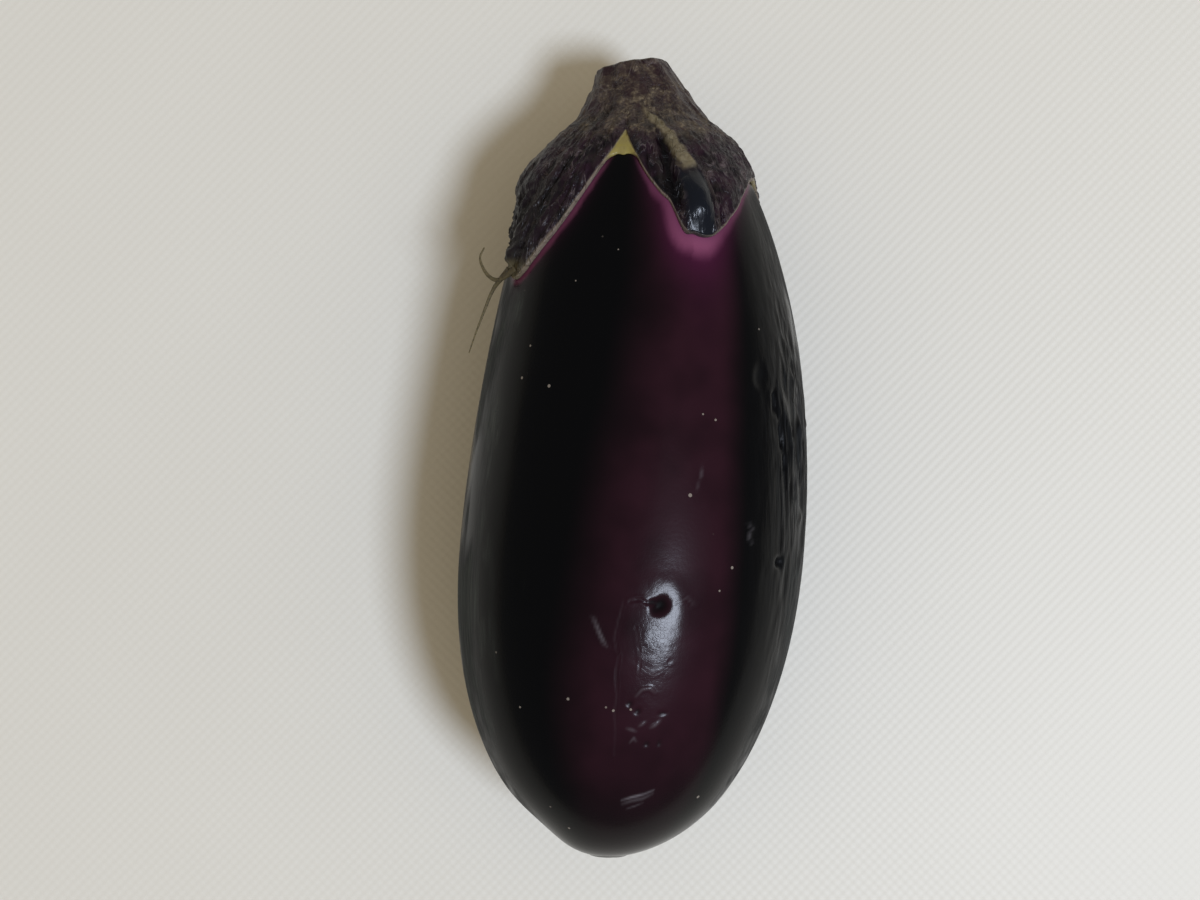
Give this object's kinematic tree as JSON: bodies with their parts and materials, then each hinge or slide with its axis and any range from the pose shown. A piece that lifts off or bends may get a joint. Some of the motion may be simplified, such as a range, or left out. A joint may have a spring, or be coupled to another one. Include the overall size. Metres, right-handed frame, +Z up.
{
  "type": "eggplant",
  "caption": "Short, plump near-black purple eggplant lying on its side, with a lobed leathery calyx and a cut stem stub.",
  "frame": {"origin": "middle of the bounding box's bottom, on the surface that the fruit lies on", "axes": "+Z up; +Y along the fruit, from the blossom end to the stem; +X to the right when looked at from above with the stem away from the viewer"},
  "size_m": [0.0659, 0.1508, 0.0604],
  "materials": {
    "fruit_skin": "smooth waxy near-black purple skin, glossy, with fine scratches, small dents and a pink band beside the calyx",
    "calyx_leather": "leathery, veined and wrinkled purple-brown sepals with corky khaki scurf and a pale fleshy rim",
    "stem_bark": "ridged purple-brown stem with grey-khaki scurf and a dull dried cut end",
    "dry_fibre": "dry straw-coloured plant fibre, matt"
  },
  "bodies": {
    "root": {"fruit": "fruit_skin", "calyx": "calyx_leather", "stem": "stem_bark", "dry_thread_curled": "dry_fibre", "dry_thread_straight": "dry_fibre"}
  },
  "joints": []
}
